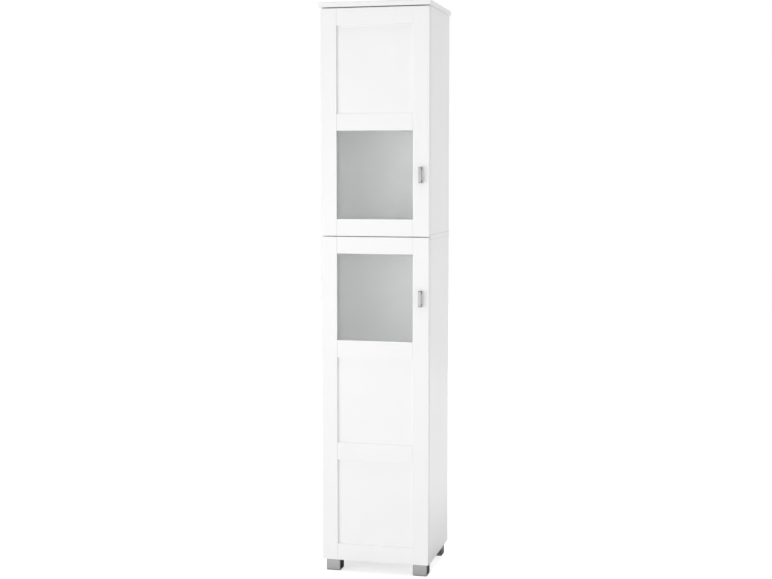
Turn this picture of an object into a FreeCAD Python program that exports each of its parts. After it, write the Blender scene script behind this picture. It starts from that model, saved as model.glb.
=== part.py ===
import FreeCAD, Part
import math
import os
from FreeCAD import Placement, Rotation, Vector

# Tall, narrow bathroom cabinet: a two-storey board carcass on four feet, with a short door
# over a long door.  Both doors are frame-and-panel doors with one frosted pane each, hung on
# the left on concealed cup hinges.
# Millimetres.  +X right, +Y to the rear, +Z up.  The origin is on the floor, under the
# middle of the whole outline, handles included.

# ---- Carcass boards --------------------------------------------------------------------
cabinet_width = 360.0          # over the two side boards
carcass_depth = 314.0          # front edge to rear edge of the side boards
lower_side_height = 1073.0
upper_side_height = 731.0
side_thickness = 16.0
top_thickness = 16.0
mid_thickness = 16.0
bottom_thickness = 16.0
shelf_thickness = 16.0
top_side_overhang = 5.0        # top board beyond each side board
top_front_overhang = 4.0       # top board beyond the door faces
top_edge_chamfer = 0.8
mid_side_overhang = 1.5        # middle board beyond each side board
back_thickness = 3.0
back_inset = 10.0              # rear edge of the sides to the rear face of the back panels
back_groove_depth = 5.0
back_face_clearance = 0.1      # back panel in its groove, each face
back_edge_clearance = 0.5      # back panel to the bottom of its groove
shelf_side_clearance = 0.5
shelf_front_setback = 14.0     # front edge of a shelf behind the front edge of the carcass
shelf_back_clearance = 1.0

# ---- Shelf pins ------------------------------------------------------------------------
pin_radius = 2.5
pin_hole_depth = 9.0
pin_seat_length = 8.0
pin_seat_width = 10.0
pin_seat_thickness = 1.6
pin_setback = 45.0             # from the front and rear edges of the shelf
pin_fit = 0.05

# ---- Knock-down joints -----------------------------------------------------------------
cam_radius = 7.5
cam_depth = 12.0
cam_distance = 24.0            # cam centre to the joint face
cam_fit = 0.1
bolt_thread_radius = 2.5
bolt_thread_length = 10.0
bolt_shank_radius = 3.2
bolt_tip_reach = 1.5           # bolt beyond the middle of the cam
bolt_fit = 0.3
cam_front_setback = 45.0       # first cam behind the front edge
cam_rear_setback = 60.0        # second cam before the rear edge
dowel_radius = 4.0
dowel_length = 30.0
dowel_face_depth = 10.0        # part of a dowel that sits in the face of a board
dowel_fit = 0.05
dowel_end_room = 1.0

# ---- Feet ------------------------------------------------------------------------------
foot_height = 40.0             # floor to the underside of the carcass
foot_width = 48.0
foot_corner_radius = 3.0
foot_wall = 2.5
foot_top_thickness = 3.0
foot_side_inset = 8.0
foot_rear_inset = 18.0
foot_pad_thickness = 1.5
foot_pad_inset = 1.2
foot_plug_height = 5.0
foot_plug_clearance = 0.2

# ---- Doors -----------------------------------------------------------------------------
door_thickness = 18.0
door_back_gap = 3.0            # closed door to the front edges of the carcass
door_gap = 3.0                 # between the doors, and between upper door and top board
door_bottom_reveal = 3.0       # carcass below the lower door
door_split_height = 9.0        # middle of the gap between the doors, above the middle
                               # board's underside
stile_width = 53.0
rail_height = 55.0
cross_rail_height = 57.0       # the two rails between the openings of the lower door
upper_glass_height = 286.0     # visible height of the panes
lower_glass_height = 285.0
recess_depth = 9.0             # door face to the face of panel or pane
housing_depth = 8.0            # groove or rebate, into stile and rail
groove_width = 6.2
panel_thickness = 6.0
panel_edge_clearance = 1.0
tenon_end_clearance = 0.2
edge_chamfer = 0.7             # softened front edges, which also make the fine joint lines
back_edge_chamfer = 1.2        # outer rear edges of the stiles
glass_thickness = 4.0
bead_thickness = 4.8
bumper_radius = 4.0
bumper_clearance = 0.3
bumper_end_distance = 30.0

# ---- Handles ---------------------------------------------------------------------------
handle_length = 52.0
handle_width = 9.0
handle_projection = 20.0
handle_bar_thickness = 9.0
handle_leg = 9.0
handle_corner_radius = 3.5
handle_inner_radius = 2.0
handle_screw_radius = 2.0
handle_screw_bite = 9.0
handle_screw_head_radius = 4.0
handle_screw_head_height = 2.0
handle_screw_fit = 0.2

# ---- Concealed cup hinges --------------------------------------------------------------
hinge_end_distance = 95.0      # hinge centre from the end of its door
axis_inset = 9.0               # door's outer edge to the hinge pin
axis_depth = 7.0               # door face to the hinge pin
cup_radius = 17.4
cup_bore_clearance = 0.1
cup_edge_distance = 5.0        # door's outer edge to the bore for the cup
cup_depth = 14.0
cup_wall = 0.8
cup_floor = 0.7
cup_rim = 1.3                  # rim beyond the bore
cup_flange_thickness = 1.2
cup_wing_width = 13.0
cup_wing_half_span = 29.0
cup_wing_offset = 9.5          # middle of the wings beyond the cup's centre
cheek_gap = 5.6                # half the clear width between the cheeks that hold the pin
cheek_thickness = 2.2
cheek_reach = 3.0
hinge_pin_radius = 1.1
hinge_pin_fit = 0.06
arm_eye_radius = 2.0
arm_thickness = 1.6
arm_half_width = 4.5
arm_body_half_width = 7.0
arm_roof_height = 8.0          # side board's face to the outside of the arm
arm_length = 63.0              # behind the front edge of the carcass
arm_body_start = 10.0          # behind the front edge of the carcass
arm_bend_radius = 2.4
plate_thickness = 2.0
plate_start = 12.0
plate_half_width = 8.5
plate_wing_half_span = 24.0
plate_wing_half_width = 7.0
plate_wing_line = 37.0         # middle of the wings behind the front edge of the carcass
plate_rib_clearance = 0.2

# ---- Wall brackets ---------------------------------------------------------------------
bracket_spacing = 220.0
bracket_width = 22.0
bracket_thickness = 1.5
bracket_drop = 34.0
bracket_reach = 30.0
wall_hole_radius = 2.75
wall_hole_drop = 21.0          # below the underside of the top board
panel_hole_radius = 4.0

# ---- Sides of the small round pieces, kept few because they repeat ----------------------
hidden_sides = 6               # in the thickness of a board
small_sides = 12               # where an open door shows them
cup_sides = 24

# ---- Places worked out from the sizes above --------------------------------------------
half_width = cabinet_width / 2
inner_half = half_width - side_thickness
overall_depth = handle_projection + door_thickness + door_back_gap + carcass_depth
face_y = handle_projection - overall_depth / 2
door_back_y = face_y + door_thickness
front_y = door_back_y + door_back_gap
rear_y = front_y + carcass_depth
back_rear_y = rear_y - back_inset
back_front_y = back_rear_y - back_thickness

bottom_z = foot_height
floor_z = bottom_z + bottom_thickness
mid_low_z = bottom_z + lower_side_height
mid_high_z = mid_low_z + mid_thickness
top_low_z = mid_high_z + upper_side_height
top_high_z = top_low_z + top_thickness

lower_door_low = bottom_z + door_bottom_reveal
door_split_z = mid_low_z + door_split_height
lower_door_high = door_split_z - door_gap / 2
upper_door_low = door_split_z + door_gap / 2
upper_door_high = top_low_z - door_gap

opening_half = half_width - stile_width
axis_x = -half_width + axis_inset
axis_y = face_y + axis_depth
cup_x = -half_width + cup_edge_distance + cup_radius + cup_bore_clearance
wall_x = -inner_half           # inner face of the left side, which carries the hinges
plate_line_y = front_y + plate_wing_line

os.makedirs("parts", exist_ok=True)


# ---- Shape helpers ---------------------------------------------------------------------
def block(x0, x1, y0, y1, z0, z1):
    return Part.makeBox(x1 - x0, y1 - y0, z1 - z0, Vector(x0, y0, z0))


def rod(radius, length, base, direction):
    return Part.makeCylinder(radius, length, base, direction)


def faceted_rod(radius, length, base, direction, sides):
    turn = Rotation(Vector(0, 0, 1), direction)
    corners = []
    for i in range(sides):
        angle = 2 * math.pi * (i + 0.5) / sides
        corners.append(base + turn.multVec(Vector(radius * math.cos(angle), radius * math.sin(angle), 0)))
    return prism(corners, direction * length)


def hidden_rod(radius, length, base, direction):
    return faceted_rod(radius, length, base, direction, hidden_sides)


def prism(points, direction):
    """Straight-sided solid over a closed outline."""
    return Part.Face(Part.makePolygon(points + points[:1])).extrude(direction)


def edges_along(shape, direction, keep):
    """Straight edges parallel to a direction whose middle point passes the test."""
    found = []
    for edge in shape.Edges:
        if len(edge.Vertexes) != 2:
            continue
        run = edge.Vertexes[1].Point - edge.Vertexes[0].Point
        straight = abs(run.Length - edge.Length) < 1e-6
        if straight and run.cross(direction).Length < 1e-6 and keep(edge.CenterOfMass):
            found.append(edge)
    return found


def rounded(shape, radius, direction, keep=lambda centre: True):
    """Rounds the straight edges that edges_along finds."""
    return shape.makeFillet(radius, edges_along(shape, direction, keep))


def softened(shape, size, direction, keep=lambda centre: True):
    """Chamfers the straight edges that edges_along finds."""
    return shape.makeChamfer(size, edges_along(shape, direction, keep))


def same(a, b):
    return abs(a - b) < 1e-6


def placed(shape, origin, x_axis, z_axis):
    """Copy of a shape built at the origin, turned so that its X and Z lie as given."""
    copy = shape.copy()
    y_axis = z_axis.cross(x_axis)
    copy.Placement = Placement(origin, Rotation(x_axis, y_axis, z_axis, "ZXY"))
    return copy


def cut_all(shape, tools):
    return shape.cut(Part.makeCompound(tools)) if tools else shape


def save(node, *shapes):
    """Writes a node as its separate solids."""
    solids = [solid for shape in shapes for solid in shape.Solids]
    whole = solids[0] if len(solids) == 1 else Part.makeCompound(solids)
    whole.exportStep("parts/" + node + ".step")


# ---- Knock-down joints ------------------------------------------------------------------
# A knock-down joint is built with the joint face at X = 0: the bolt is screwed into the
# board at X < 0, and the cam sits in the board at X > 0, with its face towards +Z.
def cam_bolt():
    """Threaded run in the one board and a thicker shank that reaches through the other's cam."""
    thread = hidden_rod(bolt_thread_radius, bolt_thread_length, Vector(), Vector(-1, 0, 0))
    shank = hidden_rod(bolt_shank_radius, cam_distance + bolt_tip_reach, Vector(), Vector(1, 0, 0))
    return thread.fuse(shank)


def bolt_bore(length):
    return hidden_rod(bolt_shank_radius + bolt_fit, length, Vector(), Vector(1, 0, 0))


def cam_lock(board_thickness):
    """Round cam with a bore for the end of the bolt."""
    face = Vector(cam_distance, 0, board_thickness / 2)
    cam = faceted_rod(cam_radius - cam_fit, cam_depth - cam_fit, face, Vector(0, 0, -1), small_sides)
    return cam.cut(bolt_bore(cam_distance + bolt_tip_reach + bolt_fit))


def cam_cuts(board_thickness):
    """Pilot hole in the board that holds the bolt; bore and pocket in the other."""
    pilot = hidden_rod(bolt_thread_radius, bolt_thread_length, Vector(), Vector(-1, 0, 0))
    pocket = faceted_rod(cam_radius, cam_depth, Vector(cam_distance, 0, board_thickness / 2),
                         Vector(0, 0, -1), small_sides)
    return pilot, bolt_bore(cam_distance).fuse(pocket)


def dowel_parts():
    """Dowel, its hole in the face board and its hole in the end of the other board."""
    start = Vector(-dowel_face_depth, 0, 0)
    dowel = hidden_rod(dowel_radius - dowel_fit, dowel_length, start, Vector(1, 0, 0))
    face_hole = hidden_rod(dowel_radius, dowel_face_depth, start, Vector(1, 0, 0))
    end_hole = hidden_rod(dowel_radius, dowel_length - dowel_face_depth + dowel_end_room,
                          Vector(), Vector(1, 0, 0))
    return dowel, face_hole, end_hole


def joint(cuts, hardware, place, into, face, face_board, end_board, end_thickness):
    """One joint line along Y: two cams and a dowel between them.

    place is the joint line's (x, z), into points into the end board and face towards the
    side on which the cams are turned.  The cutting tools go into cuts by board name.
    """
    pilot, bore = cam_cuts(end_thickness)
    stations = (front_y + cam_front_setback, rear_y - cam_rear_setback)
    for y in stations:
        origin = Vector(place[0], y, place[1])
        hardware["cam_bolts"].append(placed(cam_bolt(), origin, into, face))
        hardware["cam_locks"].append(placed(cam_lock(end_thickness), origin, into, face))
        cuts[face_board].append(placed(pilot, origin, into, face))
        cuts[end_board].append(placed(bore, origin, into, face))
    middle = Vector(place[0], sum(stations) / 2, place[1])
    dowel, face_hole, end_hole = dowel_parts()
    hardware["dowels"].append(placed(dowel, middle, into, face))
    cuts[face_board].append(placed(face_hole, middle, into, face))
    cuts[end_board].append(placed(end_hole, middle, into, face))


# ---- Door layout -----------------------------------------------------------------------
def stack(low, pieces):
    """Heights of (name, height) pieces set on each other from low, as (name, z0, z1)."""
    spans = []
    for name, height in pieces:
        spans.append((name, low, low + height))
        low += height
    return spans


upper_panel_height = upper_door_high - upper_door_low - 3 * rail_height - upper_glass_height
lower_panel_height = (lower_door_high - lower_door_low - 2 * rail_height - 2 * cross_rail_height
                      - lower_glass_height) / 2
upper_layout = stack(upper_door_low, [
    ("bottom_rail", rail_height), ("glass", upper_glass_height), ("middle_rail", rail_height),
    ("panel", upper_panel_height), ("top_rail", rail_height),
])
lower_layout = stack(lower_door_low, [
    ("bottom_rail", rail_height), ("low_panel", lower_panel_height),
    ("low_cross_rail", cross_rail_height), ("high_panel", lower_panel_height),
    ("high_cross_rail", cross_rail_height), ("glass", lower_glass_height), ("top_rail", rail_height),
])
upper_hinges = [upper_door_low + hinge_end_distance, upper_door_high - hinge_end_distance]
lower_hinges = [lower_door_low + hinge_end_distance, (lower_door_low + lower_door_high) / 2,
                lower_door_high - hinge_end_distance]


def span_middle(layout, name):
    return next((z0 + z1) / 2 for part, z0, z1 in layout if part == name)


# Each shelf lies behind a middle rail, so that no edge shows through a pane.
shelves = {
    "upper_shelf": span_middle(upper_layout, "middle_rail"),
    "lower_shelf_high": span_middle(lower_layout, "high_cross_rail"),
    "lower_shelf_low": span_middle(lower_layout, "low_cross_rail"),
}
shelf_front_y = front_y + shelf_front_setback
shelf_back_y = back_front_y - shelf_back_clearance
pin_rows = (shelf_front_y + pin_setback, shelf_back_y - pin_setback)


# ---- Carcass ---------------------------------------------------------------------------
def pin_places(side, low, high):
    """Where the pegs enter one side board between two heights, one under each shelf corner."""
    return [Vector(side * inner_half, y, middle - shelf_thickness / 2 - pin_radius)
            for middle in shelves.values() if low < middle < high for y in pin_rows]


def shelf_pin(side, place):
    """Round peg in the side board, with a flat seat under the shelf."""
    root = place + Vector(side * pin_hole_depth, 0, 0)
    peg = hidden_rod(pin_radius - pin_fit, pin_hole_depth, root, Vector(-side, 0, 0))
    x0, x1 = sorted((place.x, place.x - side * pin_seat_length))
    seat = block(x0, x1, place.y - pin_seat_width / 2, place.y + pin_seat_width / 2,
                 place.z - pin_radius, place.z + pin_radius)
    slope = prism([Vector(x, place.y - pin_seat_width / 2, z) for x, z in (
        (place.x, place.z - pin_radius), (place.x - side * pin_seat_length, place.z - pin_radius),
        (place.x - side * pin_seat_length, place.z + pin_radius - pin_seat_thickness))],
        Vector(0, pin_seat_width, 0))
    return peg.fuse(seat.cut(slope))


def back_groove(z0, z1):
    reach = inner_half + back_groove_depth
    return block(-reach, reach, back_front_y - back_face_clearance, back_rear_y + back_face_clearance,
                 z0 - back_groove_depth, z1 + back_groove_depth)


def back_panel(z0, z1):
    reach = inner_half + back_groove_depth - back_edge_clearance
    grow = back_groove_depth - back_edge_clearance
    return block(-reach, reach, back_front_y, back_rear_y, z0 - grow, z1 + grow)


def carcass():
    cuts = {name: [] for name in ("top_board", "mid_board", "bottom_board", "upper_left_side",
                                  "upper_right_side", "lower_left_side", "lower_right_side")}
    hardware = {"cam_bolts": [], "cam_locks": [], "dowels": [], "shelf_pins": []}
    up, down = Vector(0, 0, 1), Vector(0, 0, -1)
    for hand, side in (("left", -1), ("right", 1)):
        inward = Vector(-side, 0, 0)
        middle = side * (half_width - side_thickness / 2)
        upper, lower = "upper_" + hand + "_side", "lower_" + hand + "_side"
        joint(cuts, hardware, (middle, top_low_z), down, inward, "top_board", upper, side_thickness)
        joint(cuts, hardware, (middle, mid_high_z), up, inward, "mid_board", upper, side_thickness)
        joint(cuts, hardware, (middle, mid_low_z), down, inward, "mid_board", lower, side_thickness)
        joint(cuts, hardware, (side * inner_half, bottom_z + bottom_thickness / 2), inward, down,
              lower, "bottom_board", bottom_thickness)
        for board, low, high in ((upper, mid_high_z, top_low_z), (lower, floor_z, mid_low_z)):
            for place in pin_places(side, low, high):
                hardware["shelf_pins"].append(shelf_pin(side, place))
                root = place + Vector(side * pin_hole_depth, 0, 0)
                cuts[board].append(hidden_rod(pin_radius, pin_hole_depth, root, Vector(-side, 0, 0)))
    for board in ("upper_left_side", "upper_right_side", "top_board", "mid_board"):
        cuts[board].append(back_groove(mid_high_z, top_low_z))
    for board in ("lower_left_side", "lower_right_side", "mid_board", "bottom_board"):
        cuts[board].append(back_groove(floor_z, mid_low_z))
    overhang = half_width + top_side_overhang
    top = block(-overhang, overhang, face_y - top_front_overhang, rear_y, top_low_z, top_high_z)
    rims = (edges_along(top, Vector(1, 0, 0), lambda c: c.y < front_y)
            + edges_along(top, Vector(0, 1, 0), lambda c: True)
            + edges_along(top, Vector(0, 0, 1), lambda c: c.y < front_y))
    boards = {
        "top_board": top.makeChamfer(top_edge_chamfer, rims),
        "mid_board": block(-half_width - mid_side_overhang, half_width + mid_side_overhang,
                           front_y, rear_y, mid_low_z, mid_high_z),
        "bottom_board": block(-inner_half, inner_half, front_y, rear_y, bottom_z, floor_z),
    }
    for hand, x0, x1 in (("left", -half_width, -inner_half), ("right", inner_half, half_width)):
        boards["upper_" + hand + "_side"] = block(x0, x1, front_y, rear_y, mid_high_z, top_low_z)
        boards["lower_" + hand + "_side"] = block(x0, x1, front_y, rear_y, bottom_z, mid_low_z)
    for name, board in boards.items():
        save(name, cut_all(board, cuts[name]))
    for name, pieces in hardware.items():
        save(name, *pieces)

    wall_holes = [rod(panel_hole_radius, back_thickness,
                      Vector(side * bracket_spacing / 2, back_front_y, top_low_z - wall_hole_drop),
                      Vector(0, 1, 0)) for side in (-1, 1)]
    save("upper_back_panel", cut_all(back_panel(mid_high_z, top_low_z), wall_holes))
    save("lower_back_panel", back_panel(floor_z, mid_low_z))
    reach = inner_half - shelf_side_clearance
    for name, middle in shelves.items():
        save(name, block(-reach, reach, shelf_front_y, shelf_back_y,
                         middle - shelf_thickness / 2, middle + shelf_thickness / 2))


# ---- Wall brackets ---------------------------------------------------------------------
def wall_brackets():
    """Steel angles under the top board; a wall screw goes through each and the back panel."""
    brackets = []
    for side in (-1, 1):
        x = side * bracket_spacing / 2
        x0, x1 = x - bracket_width / 2, x + bracket_width / 2
        upright = block(x0, x1, back_front_y - bracket_thickness, back_front_y,
                        top_low_z - bracket_drop, top_low_z)
        flange = block(x0, x1, back_front_y - bracket_reach, back_front_y,
                       top_low_z - bracket_thickness, top_low_z)
        hole = rod(wall_hole_radius, bracket_thickness,
                   Vector(x, back_front_y - bracket_thickness, top_low_z - wall_hole_drop), Vector(0, 1, 0))
        brackets.append(upright.fuse(flange).removeSplitter().cut(hole))
    save("wall_brackets", *brackets)


# ---- Feet ------------------------------------------------------------------------------
def foot_centres():
    x = half_width - foot_side_inset - foot_width / 2
    front = front_y + foot_width / 2
    rear = rear_y - foot_rear_inset - foot_width / 2
    return {"foot_front_left": (-x, front), "foot_front_right": (x, front),
            "foot_rear_left": (-x, rear), "foot_rear_right": (x, rear)}


def square_post(x, y, width, z0, z1):
    half = width / 2
    return block(x - half, x + half, y - half, y + half, z0, z1)


def feet():
    inner_width = foot_width - 2 * foot_wall
    pads = []
    for name, (x, y) in foot_centres().items():
        shell = rounded(square_post(x, y, foot_width, foot_pad_thickness, foot_height),
                        foot_corner_radius, Vector(0, 0, 1))
        save(name, shell.cut(square_post(x, y, inner_width, foot_pad_thickness,
                                         foot_height - foot_top_thickness)))
        sole = softened(square_post(x, y, foot_width - 2 * foot_pad_inset, 0, foot_pad_thickness),
                        foot_corner_radius / 2, Vector(0, 0, 1))
        plug = square_post(x, y, inner_width - 2 * foot_plug_clearance,
                           foot_pad_thickness, foot_pad_thickness + foot_plug_height)
        pads.append(sole.fuse(plug).removeSplitter())
    save("foot_pads", *pads)


# ---- Doors -----------------------------------------------------------------------------
def frame_member(x0, x1, z0, z1):
    """Board of a door frame with softened front edges."""
    member = block(x0, x1, face_y, door_back_y, z0, z1)
    front = [edge for edge in member.Edges if same(edge.CenterOfMass.y, face_y)]
    return member.makeChamfer(edge_chamfer, front)


def housings(layout):
    """Grooves for the panels, and rebates open to the rear for the pane."""
    cutters = []
    reach = opening_half + housing_depth
    for name, z0, z1 in layout:
        if name.endswith("rail"):
            continue
        rear = door_back_y if name == "glass" else face_y + recess_depth + groove_width
        cutters.append(block(-reach, reach, face_y + recess_depth, rear,
                             z0 - housing_depth, z1 + housing_depth))
    return cutters


def beads(z0, z1):
    """Four mitred strips behind the pane, in its rebate."""
    out_x, in_x = opening_half + housing_depth, opening_half
    out = [(-out_x, z0 - housing_depth), (out_x, z0 - housing_depth),
           (out_x, z1 + housing_depth), (-out_x, z1 + housing_depth)]
    inn = [(-in_x, z0), (in_x, z0), (in_x, z1), (-in_x, z1)]
    y = face_y + recess_depth + glass_thickness
    strips = []
    for i in range(len(out)):
        j = (i + 1) % len(out)
        corners = [Vector(x, y, z) for x, z in (out[i], out[j], inn[j], inn[i])]
        strips.append(prism(corners, Vector(0, bead_thickness, 0)))
    return strips


def handle_leg_places(z):
    spread = (handle_length - handle_leg) / 2
    return z - spread, z + spread


def handle(x, z):
    """Small upright bow: a bar on two legs, with rounded outer corners and a finger gap."""
    half = handle_length / 2
    x0, x1 = x - handle_width / 2, x + handle_width / 2
    front = face_y - handle_projection
    outer = block(x0, x1, front, face_y, z - half, z + half)
    outer = rounded(outer, handle_corner_radius, Vector(1, 0, 0), lambda c: not same(c.y, face_y))
    gap = block(x0, x1, front + handle_bar_thickness, face_y, z - half + handle_leg, z + half - handle_leg)
    gap = rounded(gap, handle_inner_radius, Vector(1, 0, 0), lambda c: not same(c.y, face_y))
    threads = [hidden_rod(handle_screw_radius, handle_screw_bite, Vector(x, face_y, leg), Vector(0, -1, 0))
               for leg in handle_leg_places(z)]
    return cut_all(outer, [gap] + threads)


def handle_screw(x, z):
    """Machine screw from behind the door into one leg of the handle."""
    seat = Vector(x, door_back_y, z)
    head = faceted_rod(handle_screw_head_radius, handle_screw_head_height,
                       seat, Vector(0, 1, 0), small_sides)
    shank = hidden_rod(handle_screw_radius, door_thickness + handle_screw_bite,
                       seat, Vector(0, -1, 0))
    return head.fuse(shank)


def door(prefix, low, high, layout, hinges):
    handle_x = (half_width + opening_half) / 2
    handle_z = span_middle(layout, "glass")
    tongue_y0, tongue_y1 = face_y + recess_depth, face_y + recess_depth + groove_width
    groove_cuts = housings(layout)

    for name, x0, x1, side in (("hinge_stile", -half_width, -opening_half, -1),
                               ("handle_stile", opening_half, half_width, 1)):
        stile = frame_member(x0, x1, low, high)
        outer = edges_along(stile, Vector(0, 0, 1),
                            lambda c: same(c.y, door_back_y) and same(side * c.x, half_width))
        stile = stile.makeChamfer(back_edge_chamfer, outer)
        inner = sorted((side * opening_half, side * (opening_half + housing_depth)))
        cuts = groove_cuts + [block(inner[0], inner[1], tongue_y0, tongue_y1, low, high)]
        if side < 0:
            for z in hinges:
                cuts.append(rod(cup_radius + cup_bore_clearance, cup_depth, Vector(cup_x, door_back_y, z),
                                Vector(0, -1, 0)))
        else:
            cuts += [hidden_rod(handle_screw_radius + handle_screw_fit, door_thickness,
                                Vector(handle_x, door_back_y, leg), Vector(0, -1, 0))
                     for leg in handle_leg_places(handle_z)]
        save(prefix + "_door_" + name, cut_all(stile, cuts))

    for name, z0, z1 in layout:
        node = prefix + "_door_" + name
        if name.endswith("rail"):
            tenon = opening_half + housing_depth - tenon_end_clearance
            tongue = block(-tenon, tenon, tongue_y0, tongue_y1, z0, z1)
            rail = frame_member(-opening_half, opening_half, z0, z1).fuse(tongue).removeSplitter()
            save(node, cut_all(rail, groove_cuts))
        else:
            grow = housing_depth - panel_edge_clearance
            glazed = name == "glass"
            slack = 0 if glazed else (groove_width - panel_thickness) / 2
            y0 = tongue_y0 + slack
            y1 = y0 + (glass_thickness if glazed else panel_thickness)
            save(node, block(-opening_half - grow, opening_half + grow, y0, y1, z0 - grow, z1 + grow))
            if glazed:
                save(node + "_beads", *beads(z0, z1))

    save(prefix + "_door_handle", handle(handle_x, handle_z))
    save(prefix + "_door_handle_screws",
         *[handle_screw(handle_x, leg) for leg in handle_leg_places(handle_z)])
    bumper_height = door_back_gap - bumper_clearance
    bumper_x = half_width - side_thickness / 2
    dots = []
    for z in (low + bumper_end_distance, high - bumper_end_distance):
        dots.append(faceted_rod(bumper_radius, bumper_height, Vector(bumper_x, door_back_y, z),
                                Vector(0, 1, 0), small_sides))
    save(prefix + "_door_bumpers", *dots)


# ---- Hinges ----------------------------------------------------------------------------
# The pin lies deep in the cup, close to the door's outer edge.  The arm reaches under the
# strip of door outside the cup and comes out of the cup's mouth, so that the door can turn
# through more than a right angle without meeting it.
def hinge_cup(z):
    mouth = Vector(cup_x, door_back_y, z)
    rear = door_back_y + cup_flange_thickness
    floor_y = door_back_y - cup_depth + cup_floor
    body = faceted_rod(cup_radius, cup_depth, mouth, Vector(0, -1, 0), cup_sides)
    rim = faceted_rod(cup_radius + cup_rim, cup_flange_thickness, mouth, Vector(0, 1, 0), cup_sides)
    wing_x = cup_x + cup_wing_offset
    wing = block(wing_x - cup_wing_width / 2, wing_x + cup_wing_width / 2, door_back_y, rear,
                 z - cup_wing_half_span, z + cup_wing_half_span)
    wing = softened(wing, cup_wing_width * 0.3, Vector(0, 1, 0))
    hollow = faceted_rod(cup_radius - cup_wall, cup_depth + cup_flange_thickness, Vector(cup_x, floor_y, z),
                         Vector(0, 1, 0), cup_sides)
    cup = body.fuse([rim, wing]).removeSplitter().cut(hollow)
    cheek_x0 = cup_x - math.sqrt((cup_radius - cup_wall / 4) ** 2 - (cheek_gap + cheek_thickness) ** 2)
    for side in (-1, 1):
        z0, z1 = sorted((z + side * cheek_gap, z + side * (cheek_gap + cheek_thickness)))
        cup = cup.fuse(block(cheek_x0, axis_x + cheek_reach, floor_y - cup_floor / 2,
                             axis_y + cheek_reach, z0, z1))
    return cup.removeSplitter().cut(hinge_pin(z))


def hinge_pin(z):
    length = 2 * (cheek_gap + cheek_thickness)
    return rod(hinge_pin_radius, length, Vector(axis_x, axis_y, z - length / 2), Vector(0, 0, 1))


def hinge_arm(z):
    """Bent sheet-metal arm: rolled eye, hook inside the cup, and a channel over the plate."""
    roof_out = wall_x + arm_roof_height
    roof_in = roof_out - arm_thickness
    hook_y = axis_y - arm_eye_radius
    tail_y = front_y + arm_length
    foot = block(axis_x, roof_out, hook_y, hook_y + arm_thickness, z - arm_half_width, z + arm_half_width)
    leg = block(roof_in, roof_out, hook_y, tail_y, z - arm_half_width, z + arm_half_width)
    hook = rounded(foot.fuse(leg).removeSplitter(), arm_bend_radius, Vector(0, 0, 1),
                   lambda c: same(c.x, roof_out) and same(c.y, hook_y))
    hook = rounded(hook, arm_bend_radius - arm_thickness, Vector(0, 0, 1),
                   lambda c: same(c.x, roof_in) and same(c.y, hook_y + arm_thickness))
    eye = faceted_rod(arm_eye_radius, 2 * arm_half_width, Vector(axis_x, axis_y, z - arm_half_width),
                      Vector(0, 0, 1), small_sides)
    body_y = front_y + arm_body_start
    channel = block(wall_x + plate_thickness, roof_out, body_y, tail_y,
                    z - arm_body_half_width, z + arm_body_half_width)
    channel = softened(channel, arm_thickness * 0.6, Vector(0, 1, 0), lambda c: same(c.x, roof_out))
    channel = channel.cut(block(wall_x, roof_in, body_y, tail_y, z - arm_body_half_width + arm_thickness,
                                z + arm_body_half_width - arm_thickness))
    arm = hook.fuse([eye, channel]).removeSplitter()
    bore = rod(hinge_pin_radius + hinge_pin_fit, 2 * arm_half_width,
               Vector(axis_x, axis_y, z - arm_half_width), Vector(0, 0, 1))
    return arm.cut(bore)


def mounting_plate(z):
    """Cross-shaped plate: a base with two wings, and a rib that fills the arm's channel."""
    face = wall_x + plate_thickness
    tail_y = front_y + arm_length
    base = block(wall_x, face, front_y + plate_start, tail_y, z - plate_half_width, z + plate_half_width)
    wing = block(wall_x, face, plate_line_y - plate_wing_half_width, plate_line_y + plate_wing_half_width,
                 z - plate_wing_half_span, z + plate_wing_half_span)
    wing = softened(wing, plate_wing_half_width * 0.6, Vector(1, 0, 0))
    rib_half = arm_body_half_width - arm_thickness - plate_rib_clearance
    rib = block(face, wall_x + arm_roof_height - arm_thickness, front_y + plate_start, tail_y,
                z - rib_half, z + rib_half)
    return base.fuse([wing, rib]).removeSplitter()


def hinge_set():
    every = upper_hinges + lower_hinges
    save("hinge_arms", *[hinge_arm(z) for z in every])
    save("hinge_plates", *[mounting_plate(z) for z in every])
    for prefix, hinges in (("upper", upper_hinges), ("lower", lower_hinges)):
        save(prefix + "_hinge_cups", *[hinge_cup(z) for z in hinges])
        save(prefix + "_hinge_pins", *[hinge_pin(z) for z in hinges])


carcass()
wall_brackets()
feet()
door("upper", upper_door_low, upper_door_high, upper_layout, upper_hinges)
door("lower", lower_door_low, lower_door_high, lower_layout, lower_hinges)
hinge_set()
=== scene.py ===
"""Tall, narrow bathroom cabinet in white foil, with frosted panes, nickel fittings and square feet.

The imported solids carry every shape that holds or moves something.  This add-on gives them their
finishes and softened edges, adds the small screws and turned cams, and sets up a plain studio.
Lengths are in metres.  X points right, Y to the rear and Z up.
"""
import math

import bmesh
import bpy
from bpy.props import FloatProperty, FloatVectorProperty, PointerProperty
from mathutils import Matrix, Vector


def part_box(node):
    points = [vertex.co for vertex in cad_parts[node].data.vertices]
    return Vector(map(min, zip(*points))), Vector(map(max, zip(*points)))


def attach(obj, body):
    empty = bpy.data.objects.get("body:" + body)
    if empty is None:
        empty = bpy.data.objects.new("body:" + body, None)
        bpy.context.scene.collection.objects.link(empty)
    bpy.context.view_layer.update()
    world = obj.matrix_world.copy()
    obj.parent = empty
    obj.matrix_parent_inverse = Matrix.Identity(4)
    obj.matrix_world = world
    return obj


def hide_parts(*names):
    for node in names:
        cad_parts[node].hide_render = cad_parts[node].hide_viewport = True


bl_info = {
    "name": "Tall bathroom cabinet",
    "version": (1, 0, 0),
    "blender": (4, 5, 0),
    "location": "3D View > Sidebar > Cabinet",
    "description": "Finishes, small fittings and a studio for a tall bathroom cabinet",
    "category": "Object",
}

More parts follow.
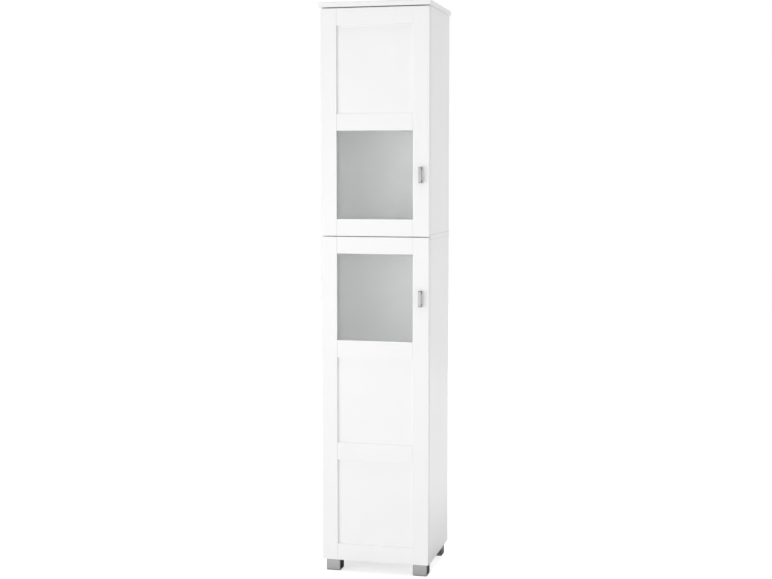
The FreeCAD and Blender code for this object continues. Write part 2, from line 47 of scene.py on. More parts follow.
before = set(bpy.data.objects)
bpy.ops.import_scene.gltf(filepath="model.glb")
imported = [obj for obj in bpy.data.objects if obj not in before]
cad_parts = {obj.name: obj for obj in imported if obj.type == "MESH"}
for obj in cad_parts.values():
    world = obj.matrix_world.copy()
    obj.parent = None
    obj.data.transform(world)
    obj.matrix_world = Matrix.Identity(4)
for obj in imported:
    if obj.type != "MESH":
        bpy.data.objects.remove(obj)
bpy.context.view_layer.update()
MM = 0.001


def hex_colour(code):
    """Linear red, green and blue of an sRGB hex value."""
    parts = [int(code[i:i + 2], 16) / 255 for i in (0, 2, 4)]
    return tuple(v / 12.92 if v <= 0.04045 else ((v + 0.055) / 1.055) ** 2.4 for v in parts)


# ---- Sizes and colours that a user would change --------------------------------------------
def colour_property(name, description, code):
    return FloatVectorProperty(name=name, description=description, subtype="COLOR", size=3,
                               min=0.0, max=1.0, default=hex_colour(code))


def length_property(name, description, millimetres):
    return FloatProperty(name=name, description=description, unit="LENGTH", subtype="DISTANCE",
                         min=0.0, precision=5, default=millimetres * MM)


def level_property(name, description, level):
    return FloatProperty(name=name, description=description, min=0.0, default=level)


class CabinetFinishes(bpy.types.PropertyGroup):
    foil: colour_property("Board foil", "White foil on the carcass boards and shelves", "F6F6F6")
    door_foil: colour_property("Door foil", "White foil on the door frames and panels", "F7F7F7")
    hardboard: colour_property("Hardboard", "Bare rear face of the back panels", "B08A62")
    glass: colour_property("Glass", "Tint of the satin-etched panes", "F1F2F2")
    nickel: colour_property("Nickel", "Brushed nickel plating on the handles", "9B9B9B")
    aluminium: colour_property("Aluminium", "Satin anodised aluminium of the feet", "B2B2B3")
    hinge_steel: colour_property("Hinge steel", "Bright nickel plating on the hinges", "CFCDC8")
    zinc: colour_property("Zinc", "Zinc plating on screws, bolts, pegs and wall brackets", "BFC2C4")
    beech: colour_property("Beech", "Grooved beech dowels", "C9A273")
    sole: colour_property("Soles", "Black polypropylene of the foot pads", "26272A")
    bumper: colour_property("Bumpers", "Clear polyurethane of the door bumpers", "DADAD4")


class CabinetEdges(bpy.types.PropertyGroup):
    board: length_property("Board edges", "Rounding of the edge-banded boards", 0.8)
    door: length_property("Door edges", "Rounding of the foil-wrapped door members", 0.4)
    metal: length_property("Metal edges", "Rounding of handles and feet", 0.5)
    fitting: length_property("Fitting edges", "Rounding of plates, brackets and bumpers", 0.2)


class CabinetScrews(bpy.types.PropertyGroup):
    wood_head: length_property("Wood screw head", "Radius of the heads on cups, plates and brackets", 3.1)
    arm_head: length_property("Arm screw head", "Radius of the screws on the hinge arms", 3.0)
    handle_head: length_property("Handle screw head", "Radius of the heads behind the doors", 4.0)
    head_height: length_property("Head height", "Height of the wood and arm screws' heads", 1.1)
    cam_radius: length_property("Cam radius", "Radius of the rim of each turned cam", 7.8)
    cam_rim: length_property("Cam rim", "How far the cam's rim stands on the board", 0.15)


class CabinetStudio(bpy.types.PropertyGroup):
    backdrop: colour_property("Backdrop", "Colour of the floor", "F4F4F4")
    key_power: level_property("Key light", "Power of the wide soft lamp in front on the left", 78.5)
    fill_power: level_property("Fill light", "Power of the soft lamp on the right", 5.5)
    top_power: level_property("Top light", "Power of the soft lamp overhead", 38.0)
    rear_power: level_property("Rear light", "Power of the soft lamp behind the cabinet", 44.0)
    surround: level_property("Surround", "Strength of the light from all round", 0.575)
    floor_lift: level_property("Floor lift", "Light that the floor adds where it is seen", 0.56)


# ---- Materials -----------------------------------------------------------------------------
# Nearly every value of the noise pattern lies between these two.
NOISE_LOW, NOISE_HIGH = 0.3, 0.7


def add_node(tree, kind, values=(), links=(), **settings):
    """Adds a node; values and links are pairs of an input with a value or with a source."""
    made = tree.nodes.new(kind)
    for name, value in settings.items():
        setattr(made, name, value)
    for key, value in values:
        made.inputs[key].default_value = value
    for key, source in links:
        tree.links.new(source, made.inputs[key])
    return made


def darker(colour, share):
    return tuple(v * share for v in colour)


def new_material(name, colour, **constants):
    """A material of one colour, with constants for other inputs of its shader."""
    material = bpy.data.materials.new(name)
    material.use_nodes = True
    inputs = material.node_tree.nodes["Principled BSDF"].inputs
    inputs["Base Color"].default_value = (*colour, 1.0)
    for key, value in constants.items():
        inputs[key.replace("_", " ")].default_value = value
    return material


def lay_over(material, mask, colour):
    """Lays a colour over the material's own where the mask is one."""
    tree = material.node_tree
    base = tree.nodes["Principled BSDF"].inputs["Base Color"]
    mix = add_node(tree, "ShaderNodeMix", [("A", tuple(base.default_value)), ("B", (*colour, 1.0))],
                   [("Factor", mask)], data_type="RGBA")
    if base.is_linked:
        tree.links.new(base.links[0].from_socket, mix.inputs["A"])
    # The third output is the one for colours.
    tree.links.new(mix.outputs[2], base)


def textured(material, repeat, detail=2.0, grit=0.5, tone=None, sheen=None, height=None):
    """Gives a material a cloudy pattern, with its repeats along X, Y and Z in millimetres.

    tone is the share of its colour that is left in the darkest spots, sheen the lowest and the
    highest roughness, and height the depth of its relief in millimetres.
    """
    tree = material.node_tree
    inputs = tree.nodes["Principled BSDF"].inputs
    place = add_node(tree, "ShaderNodeTexCoord").outputs["Object"]
    scaled = add_node(tree, "ShaderNodeMapping", [("Scale", [1 / (size * MM) for size in repeat])],
                      [("Vector", place)]).outputs["Vector"]
    cloud = add_node(tree, "ShaderNodeTexNoise",
                     [("Scale", 1.0), ("Detail", detail), ("Roughness", grit)],
                     [("Vector", scaled)]).outputs["Fac"]
    ends = [("From Min", NOISE_LOW), ("From Max", NOISE_HIGH)]
    if tone:
        dark_spots = add_node(tree, "ShaderNodeMapRange", [*ends, ("To Min", 1.0), ("To Max", 0.0)],
                              [("Value", cloud)]).outputs["Result"]
        lay_over(material, dark_spots, darker(inputs["Base Color"].default_value[:3], tone))
    if sheen:
        rough = add_node(tree, "ShaderNodeMapRange", [*ends, ("To Min", sheen[0]), ("To Max", sheen[1])],
                         [("Value", cloud)]).outputs["Result"]
        tree.links.new(rough, inputs["Roughness"])
    if height:
        bump = add_node(tree, "ShaderNodeBump", [("Strength", 1.0), ("Distance", height * MM)],
                        [("Height", cloud)]).outputs["Normal"]
        tree.links.new(bump, inputs["Normal"])


def measured(tree, kind, axis):
    """One axis of the place on the object (kind Object) or of the way it faces (kind Normal)."""
    source = add_node(tree, "ShaderNodeTexCoord").outputs[kind]
    return add_node(tree, "ShaderNodeSeparateXYZ", links=[("Vector", source)]).outputs[axis]


def satin_foil(name, colour, peel_height):
    """Melamine or polymer foil pressed on board: even white, soft sheen, faint orange peel."""
    material = new_material(name, colour, IOR=1.5, Roughness=0.36)
    # Tone and sheen drift a little over a hand's width, as on any pressed board.
    textured(material, (140, 140, 140), detail=3, tone=0.985, sheen=(0.33, 0.4))
    # Real foil has a 1 mm peel; it is drawn at 4 mm, so that its sheen shows from a step away.
    textured(material, (4, 4, 4), height=peel_height)
    return material


def rail_foil_with_painted_shadow(colour, peel_height, end):
    """Foil-wrapped rail with a painted shadow over its left end, as if the stile there stood a hair proud and
    shaded it.
    """
    material = satin_foil("white foil-wrapped rail", colour, peel_height)
    tree = material.node_tree
    # The painted shadow is drawn 1.2 mm wide, wider than a real one of a few tenths, so that it shows.
    painted_shadow_width, painted_shadow_tone = 1.2 * MM, 0.8
    painted_shadow_mask = add_node(tree, "ShaderNodeMath", [(1, end + painted_shadow_width)], [(0, measured(tree, "Object", "X"))],
                      operation="LESS_THAN").outputs[0]
    # Paints the shadow over the rail's left end.
    lay_over(material, painted_shadow_mask, darker(colour, painted_shadow_tone))
    return material


def foil_with_painted_seam_shade(colour, peel_height, low, high):
    """Edge-banded foil board with painted shade: a fine dark line along its top and bottom arrises, where
    other boards meet it.
    """
    material = satin_foil("white edge-banded foil", colour, peel_height)
    tree = material.node_tree
    # The painted seam shade is drawn 1.6 mm wide, wider than a real seam of a few tenths, so that it shows.
    seam_shade_width, seam_shade_tone = 1.6 * MM, 0.78
    above = add_node(tree, "ShaderNodeMath", [(1, (low + high) / 2)], [(0, measured(tree, "Object", "Z"))],
                     operation="SUBTRACT").outputs[0]
    away = add_node(tree, "ShaderNodeMath", links=[(0, above)], operation="ABSOLUTE").outputs[0]
    outermost = add_node(tree, "ShaderNodeMath", [(1, (high - low) / 2 - seam_shade_width)], [(0, away)],
                         operation="GREATER_THAN").outputs[0]
    # Only the board's edges get the painted shade, and its level faces, which look straight up or down,
    # don't.
    level_from = 0.9
    tilt = add_node(tree, "ShaderNodeMath", links=[(0, measured(tree, "Normal", "Z"))],
                    operation="ABSOLUTE").outputs[0]
    upright = add_node(tree, "ShaderNodeMath", [(1, level_from)], [(0, tilt)],
                       operation="LESS_THAN").outputs[0]
    seam_shade_mask = add_node(tree, "ShaderNodeMath", links=[(0, outermost), (1, upright)],
                    operation="MULTIPLY").outputs[0]
    # Paints the seam shade along both arrises.
    lay_over(material, seam_shade_mask, darker(colour, seam_shade_tone))
    return material


def bare_hardboard(face_colour, rear_colour):
    """Thin fibre board: white print on the inner face, brown pressed fibre on the rear face."""
    material = new_material("printed hardboard", rear_colour, IOR=1.5, Roughness=0.6)
    # Single fibres are tenths of a millimetre thick; the clumps that they form are drawn.
    textured(material, (2.5, 2.5, 6), detail=6, grit=0.7, tone=0.72, height=0.05)
    rear_from = 0.5
    not_rear = add_node(material.node_tree, "ShaderNodeMath", [(1, rear_from)],
                        [(0, measured(material.node_tree, "Normal", "Y"))], operation="LESS_THAN").outputs[0]
    lay_over(material, not_rear, face_colour)
    return material


def satin_etched_glass(colour, roughness):
    """Acid-etched float glass: clear body, milky matt skin that blurs what stands behind it."""
    material = new_material("satin-etched glass", colour, IOR=1.5, Transmission_Weight=0.92)
    # Etching pits are microns wide; they are drawn at 1.2 mm to leave a fine sparkle.
    textured(material, (1.2, 1.2, 1.2), detail=3, sheen=(roughness * 0.92, roughness * 1.08), height=0.004)
    return material


def moulded_plastic(name, colour, roughness, grain_height):
    """Injection-moulded plastic: an eroded mould's fine grain, which dulls its sheen."""
    material = new_material(name, colour, IOR=1.46, Roughness=roughness)
    # The grain of such a mould is a tenth of a millimetre or two wide; it is drawn at 0.9 mm.
    textured(material, (0.9, 0.9, 0.9), detail=4, tone=0.93, height=grain_height)
    return material


def brushed_metal(name, colour, roughness, grain, groove_height):
    """Metal with fine parallel scratches, long in one direction, that stretch its highlights."""
    material = new_material(name, colour, Metallic=1.0, Roughness=roughness)
    # A fine belt leaves scratches of a few hundredths; they are drawn a third to half a millimetre wide.
    textured(material, grain, detail=5, grit=0.65, tone=0.9, sheen=(roughness * 0.85, roughness * 1.2),
             height=groove_height)
    return material


def plated_steel(name, colour, roughness, mottle):
    """Pressed or cast metal under a thin plating: bright, with slightly uneven highlights."""
    material = new_material(name, colour, Metallic=1.0, Roughness=roughness)
    textured(material, (mottle, mottle, mottle), detail=3, tone=0.93,
             sheen=(roughness * 0.8, roughness * 1.25), height=0.02)
    return material


def beech_wood(colour):
    """Planed beech: warm and matt, with short dark flecks along the grain."""
    material = new_material("beech", colour, IOR=1.5, Roughness=0.55)
    textured(material, (3, 0.6, 0.6), detail=4, tone=0.75, height=0.03)
    return material


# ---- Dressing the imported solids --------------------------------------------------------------
WELD_REACH = 0.002 * MM
BEVEL_SEGMENTS = 2
SOFTENED_FROM = math.radians(40)
CRISP_FROM = math.radians(32)

DOORS = ("upper", "lower")
FRAME_MEMBERS = {
    "upper": ("hinge_stile", "handle_stile", "bottom_rail", "middle_rail", "top_rail", "panel"),
    "lower": ("hinge_stile", "handle_stile", "bottom_rail", "low_cross_rail", "high_cross_rail",
              "top_rail", "low_panel", "high_panel"),
}
BOARDS = ("top_board", "mid_board", "bottom_board", "upper_left_side", "upper_right_side",
          "lower_left_side", "lower_right_side")
SHELVES = ("upper_shelf", "lower_shelf_high", "lower_shelf_low")
BACKS = ("upper_back_panel", "lower_back_panel")
FEET = ("foot_front_left", "foot_front_right", "foot_rear_left", "foot_rear_right")


def finish_node(name, material, softness=0.0):
    """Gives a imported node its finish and, where softness is set, rounded edges."""
    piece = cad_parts[name]
    mesh = piece.data
    if "custom_normal" in mesh.attributes:
        mesh.attributes.remove(mesh.attributes["custom_normal"])
    mesh.shade_smooth()
    mesh.materials.clear()
    mesh.materials.append(material)
    weld = piece.modifiers.new("joined faces", "WELD")
    weld.merge_threshold = WELD_REACH
    if softness > 0:
        bevel = piece.modifiers.new("softened edges", "BEVEL")
        bevel.width = softness
        bevel.segments = BEVEL_SEGMENTS
        bevel.limit_method = "ANGLE"
        bevel.angle_limit = SOFTENED_FROM
        bevel.harden_normals = True
    else:
        split = piece.modifiers.new("crisp edges", "EDGE_SPLIT")
        split.split_angle = CRISP_FROM
    return piece


def solid_boxes(name):
    """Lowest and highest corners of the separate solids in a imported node, from the floor up."""
    shape = bmesh.new()
    shape.from_mesh(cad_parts[name].data)
    bmesh.ops.remove_doubles(shape, verts=shape.verts, dist=WELD_REACH)
    boxes, seen = [], set()
    for start in shape.verts:
        if start in seen:
            continue
        seen.add(start)
        reached, waiting = [], [start]
        while waiting:
            vert = waiting.pop()
            reached.append(vert.co.copy())
            for edge in vert.link_edges:
                other = edge.other_vert(vert)
                if other not in seen:
                    seen.add(other)
                    waiting.append(other)
        boxes.append((Vector(map(min, zip(*reached))), Vector(map(max, zip(*reached)))))
    shape.free()
    return sorted(boxes, key=lambda box: (round(box[0].z, 5), box[0].x, box[0].y))


# ---- Screw heads and cam faces -----------------------------------------------------------------
# Rings of a head from its seat outwards, as shares of its radius and height.
PAN_HEAD = [(1.0, 0.0), (1.0, 0.35), (0.93, 0.62), (0.8, 0.85), (0.62, 1.0)]
FLAT_HEAD = [(1.0, 0.0), (1.0, 0.7), (0.94, 1.0), (0.66, 1.0)]
HEAD_CORNERS = 28
# The cross recess: half its length and half its width as shares of the head's radius, its size at
# the floor as a share of its mouth, and the floor's height as a share of the head's.
RECESS_REACH, RECESS_HALF_WIDTH, RECESS_TAPER, RECESS_FLOOR = 0.52, 0.13, 0.8, 0.25
HEAD_CRISP_FROM = math.radians(38)

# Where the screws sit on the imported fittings.
CUP_SCREW_INWARD = 9.5 * MM                # from the middle of cup and flange, away from the door's edge
CUP_SCREW_RISE = 22.5 * MM                 # above and below that middle
PLATE_WING = 2 * MM                        # thickness of the plate under its screws
PLATE_SCREW_BACK = 25 * MM                 # behind the plate's front end
PLATE_SCREW_RISE = 16.5 * MM               # above and below the plate's middle
ARM_SCREWS_FORWARD = (11 * MM, 37 * MM)    # in front of the arm's rear end
BRACKET_LEG = 1.5 * MM                     # thickness of the bracket's leg under the top board
BRACKET_SCREW_BACK = 12 * MM               # behind that leg's front end
CAM_LEVEL_SLACK = 1 * MM                   # cams that start this close to the bottom board face down


def turned_ring(shape, matrix, radius, height):
    return [shape.verts.new(matrix @ Vector((radius * math.cos(2 * math.pi * i / HEAD_CORNERS),
                                             radius * math.sin(2 * math.pi * i / HEAD_CORNERS), height)))
            for i in range(HEAD_CORNERS)]


def loop_edges(shape, ring):
    return [shape.edges.get((a, b)) or shape.edges.new((a, b)) for a, b in zip(ring, ring[1:] + ring[:1])]


def join_rings(shape, low, high):
    for i in range(len(low)):
        j = (i + 1) % len(low)
        shape.faces.new((low[i], low[j], high[j], high[i]))


def add_cross_head(shape, seat, outward, radius, height, profile):
    """Head with a cross recess, on a seat, from rings given as shares of radius and height."""
    matrix = Matrix.Translation(seat) @ outward.to_track_quat("Z", "Y").to_matrix().to_4x4()
    rings = [turned_ring(shape, matrix, radius * across, height * up) for across, up in profile]
    for low, high in zip(rings, rings[1:]):
        join_rings(shape, low, high)
    reach, half = radius * RECESS_REACH, radius * RECESS_HALF_WIDTH
    quarter = [(reach, -half), (reach, half), (half, half)]
    outline = []
    for _ in range(4):
        outline += quarter
        quarter = [(-y, x) for x, y in quarter]
    mouth = [shape.verts.new(matrix @ Vector((x, y, height))) for x, y in outline]
    sunk = [shape.verts.new(matrix @ Vector((x * RECESS_TAPER, y * RECESS_TAPER, height * RECESS_FLOOR)))
            for x, y in outline]
    bmesh.ops.bridge_loops(shape, edges=loop_edges(shape, rings[-1]) + loop_edges(shape, mouth))
    join_rings(shape, mouth, sunk)
    shape.faces.new(sunk)


def finish_piece(shape, name, body, material):
    """Turns a drawn shape into a piece that rides on a body."""
    bmesh.ops.recalc_face_normals(shape, faces=shape.faces)
    mesh = bpy.data.meshes.new(name)
    shape.to_mesh(mesh)
    shape.free()
    mesh.shade_smooth()
    mesh.materials.append(material)
    piece = bpy.data.objects.new(name, mesh)
    bpy.context.scene.collection.objects.link(piece)
    split = piece.modifiers.new("crisp edges", "EDGE_SPLIT")
    split.split_angle = HEAD_CRISP_FROM
    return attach(piece, body)


# ---- One operator for each group of pieces -----------------------------------------------------
class CABINET_OT_boards(bpy.types.Operator):
    """Finish the carcass boards, the shelves and the back panels"""
    bl_idname = "cabinet.boards"
    bl_label = "Boards and backs"

    def execute(self, context):
        finishes, edges = context.scene.cabinet_finishes, context.scene.cabinet_edges
        colour, peel_height = tuple(finishes.foil), 0.012
        foil = satin_foil("white melamine foil", colour, peel_height)
        for name in BOARDS + SHELVES:
            finish_node(name, foil, edges.board)
        low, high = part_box("mid_board")
        # The mid board gets painted seam shade along its top and bottom arrises.
        banded = foil_with_painted_seam_shade(colour, peel_height, low.z, high.z)
        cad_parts["mid_board"].data.materials[0] = banded
        back = bare_hardboard(colour, tuple(finishes.hardboard))
        for name in BACKS:
            finish_node(name, back)
        return {"FINISHED"}


class CABINET_OT_doors(bpy.types.Operator):
    """Finish the stiles, rails and panels of both doors"""
    bl_idname = "cabinet.doors"
    bl_label = "Door frames and panels"

    def execute(self, context):
        finishes, edges = context.scene.cabinet_finishes, context.scene.cabinet_edges
        colour, peel_height = tuple(finishes.door_foil), 0.01
        foil = satin_foil("white foil-wrapped fibreboard", colour, peel_height)
        # Each rail gets a painted shadow at its left end, next to the hinge stile.
        rail_foil = rail_foil_with_painted_shadow(colour, peel_height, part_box("upper_door_hinge_stile")[1].x)
        for door in DOORS:
            for member in FRAME_MEMBERS[door]:
                finish_node(door + "_door_" + member, rail_foil if "rail" in member else foil,
                            0.0 if "panel" in member else edges.door)
        return {"FINISHED"}


class CABINET_OT_glazing(bpy.types.Operator):
    """Finish the frosted panes and the beads that hold them"""
    bl_idname = "cabinet.glazing"
    bl_label = "Panes and beads"

    def execute(self, context):
        finishes = context.scene.cabinet_finishes
        glass = satin_etched_glass(tuple(finishes.glass), roughness=0.5)
        bead = moulded_plastic("white PVC bead", tuple(finishes.foil), roughness=0.42, grain_height=0.01)
        for door in DOORS:
            pane = finish_node(door + "_door_glass", glass)
            pane.visible_shadow = False
            finish_node(door + "_door_glass_beads", bead)
        return {"FINISHED"}


class CABINET_OT_handles(bpy.types.Operator):
    """Finish the bow handles and turn the screws behind them"""
    bl_idname = "cabinet.handles"
    bl_label = "Handles"

    def execute(self, context):
        finishes, edges, screws = (context.scene.cabinet_finishes, context.scene.cabinet_edges,
                                   context.scene.cabinet_screws)
        nickel = brushed_metal("brushed nickel", tuple(finishes.nickel), roughness=0.42,
                               grain=(0.35, 0.35, 14), groove_height=0.012)
        zinc = plated_steel("zinc-plated screw steel", tuple(finishes.zinc), roughness=0.32, mottle=3)
        for door in DOORS:
            finish_node(door + "_door_handle", nickel, edges.metal)
            node = door + "_door_handle_screws"
            shape = bmesh.new()
            for low, high in solid_boxes(node):
                middle = (low + high) / 2
                seat = Vector((middle.x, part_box(door + "_door_handle_stile")[1].y, middle.z))
                add_cross_head(shape, seat, Vector((0, 1, 0)), screws.handle_head, high.y - seat.y, PAN_HEAD)
            piece = finish_piece(shape, node + "_turned", door + "_door", zinc)
            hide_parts(node)
        return {"FINISHED"}


class CABINET_OT_hinges(bpy.types.Operator):
    """Finish the cup hinges and add the screws of cups, plates and arms"""
    bl_idname = "cabinet.hinges"
    bl_label = "Cup hinges"

    def execute(self, context):
        finishes, edges, screws = (context.scene.cabinet_finishes, context.scene.cabinet_edges,
                                   context.scene.cabinet_screws)
        steel = plated_steel("nickel-plated pressed steel", tuple(finishes.hinge_steel),
                             roughness=0.24, mottle=9)
        bright = plated_steel("zinc-plated wood screw steel", tuple(finishes.zinc), roughness=0.3, mottle=3)
        finish_node("hinge_arms", steel)
        finish_node("hinge_plates", steel, edges.fitting)
        height = screws.head_height
        for door in DOORS:
            finish_node(door + "_hinge_cups", steel)
            finish_node(door + "_hinge_pins", steel)
            shape = bmesh.new()
            for low, high in solid_boxes(door + "_hinge_cups"):
                middle = (low + high) / 2
                for side in (-1, 1):
                    seat = Vector((middle.x + CUP_SCREW_INWARD, high.y, middle.z + side * CUP_SCREW_RISE))
                    add_cross_head(shape, seat, Vector((0, 1, 0)), screws.wood_head, height, PAN_HEAD)
            finish_piece(shape, door + "_cup_screws", door + "_door", bright)
        shape = bmesh.new()
        for low, high in solid_boxes("hinge_plates"):
            middle = (low + high) / 2
            for side in (-1, 1):
                seat = Vector((low.x + PLATE_WING, low.y + PLATE_SCREW_BACK,
                               middle.z + side * PLATE_SCREW_RISE))
                add_cross_head(shape, seat, Vector((1, 0, 0)), screws.wood_head, height, PAN_HEAD)
        for low, high in solid_boxes("hinge_arms"):
            middle = (low + high) / 2
            for forward in ARM_SCREWS_FORWARD:
                seat = Vector((high.x, high.y - forward, middle.z))
                add_cross_head(shape, seat, Vector((1, 0, 0)), screws.arm_head, height, FLAT_HEAD)
        finish_piece(shape, "plate_and_arm_screws", "carcass", bright)
        return {"FINISHED"}


class CABINET_OT_fittings(bpy.types.Operator):
    """Finish the knock-down fittings, shelf pegs and wall brackets, and turn the cams"""
    bl_idname = "cabinet.fittings"
    bl_label = "Knock-down fittings"

    def execute(self, context):
        finishes, edges, screws = (context.scene.cabinet_finishes, context.scene.cabinet_edges,
                                   context.scene.cabinet_screws)
        zinc = plated_steel("zinc-plated steel", tuple(finishes.zinc), roughness=0.3, mottle=6)
        # Bare cast zinc is darker and duller than a plated face.
        cast = plated_steel("cast zinc", darker(tuple(finishes.zinc), 0.8), roughness=0.45, mottle=2)
        for name in ("cam_bolts", "shelf_pins"):
            finish_node(name, zinc)
        finish_node("wall_brackets", zinc, edges.fitting)
        finish_node("dowels", beech_wood(tuple(finishes.beech)))
        finish_node("cam_locks", cast)

        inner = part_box("lower_left_side")[1].x
        floor_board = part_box("bottom_board")[0].z
        shape = bmesh.new()
        for low, high in solid_boxes("cam_locks"):
            middle = (low + high) / 2
            if low.z < floor_board + CAM_LEVEL_SLACK:
                seat, outward = Vector((middle.x, middle.y, floor_board)), Vector((0, 0, -1))
            else:
                side = -1 if middle.x < 0 else 1
                seat, outward = Vector((side * abs(inner), middle.y, middle.z)), Vector((-side, 0, 0))
            add_cross_head(shape, seat, outward, screws.cam_radius, screws.cam_rim, FLAT_HEAD)
        finish_piece(shape, "cam_faces", "carcass", cast)

        shape = bmesh.new()
        for low, high in solid_boxes("wall_brackets"):
            seat = Vector(((low.x + high.x) / 2, low.y + BRACKET_SCREW_BACK, high.z - BRACKET_LEG))
            add_cross_head(shape, seat, Vector((0, 0, -1)), screws.wood_head, screws.head_height, PAN_HEAD)
        finish_piece(shape, "bracket_screws", "carcass", zinc)
        return {"FINISHED"}


class CABINET_OT_feet(bpy.types.Operator):
    """Finish the square feet, their soles and the door bumpers"""
    bl_idname = "cabinet.feet"
    bl_label = "Feet and bumpers"

    def execute(self, context):
        finishes, edges = context.scene.cabinet_finishes, context.scene.cabinet_edges
        satin = brushed_metal("satin anodised aluminium", tuple(finishes.aluminium), roughness=0.36,
                              grain=(0.5, 0.5, 18), groove_height=0.01)
        for name in FEET:
            finish_node(name, satin, edges.metal)
        sole = moulded_plastic("black polypropylene", tuple(finishes.sole), roughness=0.5, grain_height=0.02)
        finish_node("foot_pads", sole)
        bumper = moulded_plastic("clear polyurethane", tuple(finishes.bumper), roughness=0.3,
                                 grain_height=0.01)
        for door in DOORS:
            finish_node(door + "_door_bumpers", bumper, edges.fitting)
        return {"FINISHED"}


# ---- Studio ------------------------------------------------------------------------------------
# Place, target, and width and height of each soft lamp.
LAMPS = {
    "key": ((-2.15, -4.3, 0.7), (0.0, 0.0, 0.7), (4.4, 1.6)),
    "fill": ((2.3, -0.05, 0.9), (0.0, 0.0, 0.9), (1.2, 1.2)),
    "top": ((-0.2, -1.4, 5.5), (0.0, 0.0, 0.9), (2.4, 2.4)),
    "rear": ((-0.7, 4.6, 1.5), (0.0, 0.0, 0.9), (2.4, 2.4)),
}
WHITE = (1.0, 1.0, 1.0, 1.0)

# The photo's viewpoint, fitted to the corners of doors, panels, cap board and feet.
CAMERA_PLACE = (1.0688, -4.4066, 1.3295)
CAMERA_DIP = 4.95         # degrees below level
CAMERA_TURN = 13.63       # degrees to the left of straight ahead
CAMERA_LENS = 62.98       # millimetres
CAMERA_SENSOR = 36.0      # millimetres

FLOOR_REACH = 9.0         # from the middle to each side
FLOOR_CELLS = 8           # along each side
# In shiny faces the floor has no lift nearer the cabinet's middle than the first distance, and all
# of it past the second.
LIFT_RISE = (0.3, 1.2)
# Shiny faces mirror a floor with painted shade, dark behind the cabinet's front and near its middle; each
# pair gives where that painted shade starts and where it is full.
SHADE_DEPTH = (-0.16, -0.1)
SHADE_DISTANCE = (0.36, 0.24)
SHADE_COLOUR = (0.04, 0.04, 0.04)


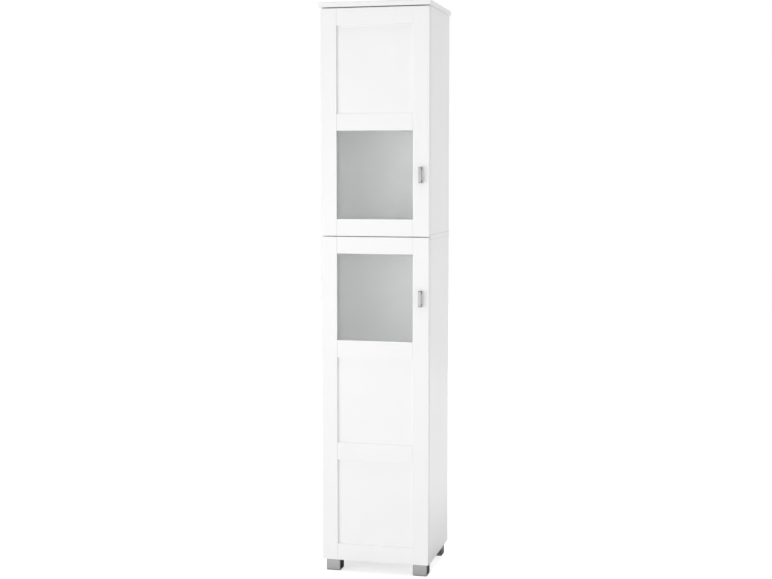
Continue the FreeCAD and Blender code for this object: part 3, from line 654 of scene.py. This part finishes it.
class CABINET_OT_studio(bpy.types.Operator):
    """Set up the pale floor, the soft light and the camera"""
    bl_idname = "cabinet.studio"
    bl_label = "Studio"

    def execute(self, context):
        scene, studio = context.scene, context.scene.cabinet_studio
        scene.view_settings.view_transform = "Standard"
        self.lay_floor(studio)
        self.light_surround(scene, studio)
        for name, (place, target, size) in LAMPS.items():
            self.hang_lamp(name + " lamp", place, target, size, getattr(studio, name + "_power"))
        camera = bpy.data.objects.new("camera", bpy.data.cameras.new("camera"))
        camera.data.sensor_width = CAMERA_SENSOR
        camera.data.lens = CAMERA_LENS
        camera.location = CAMERA_PLACE
        camera.rotation_euler = (math.radians(90 - CAMERA_DIP), 0.0, math.radians(CAMERA_TURN))
        scene.collection.objects.link(camera)
        scene.camera = camera
        return {"FINISHED"}

    @staticmethod
    def seen_directly(tree, in_metal=None):
        """One for rays from the camera, off shiny faces and through glass, and nought for the rest.

        in_metal is an output that weakens what shiny faces show.
        """
        path = add_node(tree, "ShaderNodeLightPath")
        glossy = path.outputs["Is Glossy Ray"]
        if in_metal:
            glossy = add_node(tree, "ShaderNodeMath", links=[(0, glossy), (1, in_metal)],
                              operation="MULTIPLY").outputs[0]
        either = add_node(tree, "ShaderNodeMath", links=[(0, path.outputs["Is Camera Ray"]), (1, glossy)],
                          operation="MAXIMUM").outputs[0]
        return add_node(tree, "ShaderNodeMath", links=[(0, either), (1, path.outputs["Is Transmission Ray"])],
                        operation="MAXIMUM").outputs[0]

    def floor_paint(self, studio):
        """Matt white paint that glows a little where it is seen, so that the floor fades into white."""
        material = new_material("pale studio floor", tuple(studio.backdrop), Roughness=0.9,
                                Specular_IOR_Level=0.1, Emission_Color=WHITE)
        tree = material.node_tree
        place = add_node(tree, "ShaderNodeTexCoord").outputs["Object"]
        distance = add_node(tree, "ShaderNodeVectorMath", links=[(0, place)],
                            operation="LENGTH").outputs["Value"]
        # Under the cabinet the floor lies in shade, and the feet show that.
        open_floor = add_node(tree, "ShaderNodeMapRange",
                              [("From Min", LIFT_RISE[0]), ("From Max", LIFT_RISE[1])],
                              [("Value", distance)]).outputs["Result"]
        lift = add_node(tree, "ShaderNodeMath", [(1, studio.floor_lift)],
                        [(0, self.seen_directly(tree, open_floor))], operation="MULTIPLY").outputs[0]
        tree.links.new(lift, tree.nodes["Principled BSDF"].inputs["Emission Strength"])
        # Behind the cabinet's front, away from the key lamp, the floor gets painted shade that only shiny
        # faces see.
        depth = measured(tree, "Object", "Y")
        painted_shade = add_node(tree, "ShaderNodeLightPath").outputs["Is Glossy Ray"]
        for source, (clear, full) in ((depth, SHADE_DEPTH), (distance, SHADE_DISTANCE)):
            fade = add_node(tree, "ShaderNodeMapRange", [("From Min", clear), ("From Max", full)],
                            [("Value", source)]).outputs["Result"]
            painted_shade = add_node(tree, "ShaderNodeMath", links=[(0, painted_shade), (1, fade)],
                              operation="MULTIPLY").outputs[0]
        lay_over(material, painted_shade, SHADE_COLOUR)
        # A roller leaves a faint orange peel.
        textured(material, (5, 5, 5), height=0.02)
        return material

    def lay_floor(self, studio):
        shape = bmesh.new()
        bmesh.ops.create_grid(shape, x_segments=FLOOR_CELLS, y_segments=FLOOR_CELLS, size=FLOOR_REACH)
        mesh = bpy.data.meshes.new("floor")
        shape.to_mesh(mesh)
        shape.free()
        mesh.materials.append(self.floor_paint(studio))
        floor = bpy.data.objects.new("floor", mesh)
        bpy.context.scene.collection.objects.link(floor)

    def light_surround(self, scene, studio):
        """Even light from all round, which is plain white where it is seen."""
        world = bpy.data.worlds.new("studio surround")
        scene.world = world
        world.use_nodes = True
        tree = world.node_tree
        glow = tree.nodes["Background"]
        glow.inputs["Color"].default_value = WHITE
        strength = add_node(tree, "ShaderNodeMapRange", [("To Min", studio.surround), ("To Max", 1.0)],
                            [("Value", self.seen_directly(tree))])
        tree.links.new(strength.outputs["Result"], glow.inputs["Strength"])

    @staticmethod
    def hang_lamp(name, place, target, size, power):
        """Soft lamp of a width and height, turned from its place towards a target."""
        lamp = bpy.data.lights.new(name, "AREA")
        lamp.shape = "RECTANGLE"
        lamp.size, lamp.size_y = size
        lamp.energy = power
        holder = bpy.data.objects.new(name, lamp)
        holder.location = place
        holder.rotation_euler = (Vector(target) - Vector(place)).to_track_quat("-Z", "Y").to_euler()
        bpy.context.scene.collection.objects.link(holder)


# ---- Add-on ------------------------------------------------------------------------------------
OPERATORS = (CABINET_OT_boards, CABINET_OT_doors, CABINET_OT_glazing, CABINET_OT_handles,
             CABINET_OT_hinges, CABINET_OT_fittings, CABINET_OT_feet, CABINET_OT_studio)
SETTINGS = {"cabinet_finishes": CabinetFinishes, "cabinet_edges": CabinetEdges,
            "cabinet_screws": CabinetScrews, "cabinet_studio": CabinetStudio}


class CABINET_PT_sidebar(bpy.types.Panel):
    bl_idname = "CABINET_PT_sidebar"
    bl_label = "Tall bathroom cabinet"
    bl_space_type = "VIEW_3D"
    bl_region_type = "UI"
    bl_category = "Cabinet"

    def draw(self, context):
        for operator in OPERATORS:
            self.layout.operator(operator.bl_idname)
        for name, group in SETTINGS.items():
            box = self.layout.box()
            settings = getattr(context.scene, name)
            for key in group.__annotations__:
                box.prop(settings, key)


def register():
    for cls in (*SETTINGS.values(), *OPERATORS, CABINET_PT_sidebar):
        bpy.utils.register_class(cls)
    for name, group in SETTINGS.items():
        setattr(bpy.types.Scene, name, PointerProperty(type=group))


def unregister():
    for name in SETTINGS:
        delattr(bpy.types.Scene, name)
    for cls in (CABINET_PT_sidebar, *reversed(OPERATORS), *SETTINGS.values()):
        bpy.utils.unregister_class(cls)


def main():
    register()
    bpy.ops.cabinet.boards()
    bpy.ops.cabinet.doors()
    bpy.ops.cabinet.glazing()
    bpy.ops.cabinet.handles()
    bpy.ops.cabinet.hinges()
    bpy.ops.cabinet.fittings()
    bpy.ops.cabinet.feet()
    bpy.ops.cabinet.studio()


if __name__ == "__main__":
    main()
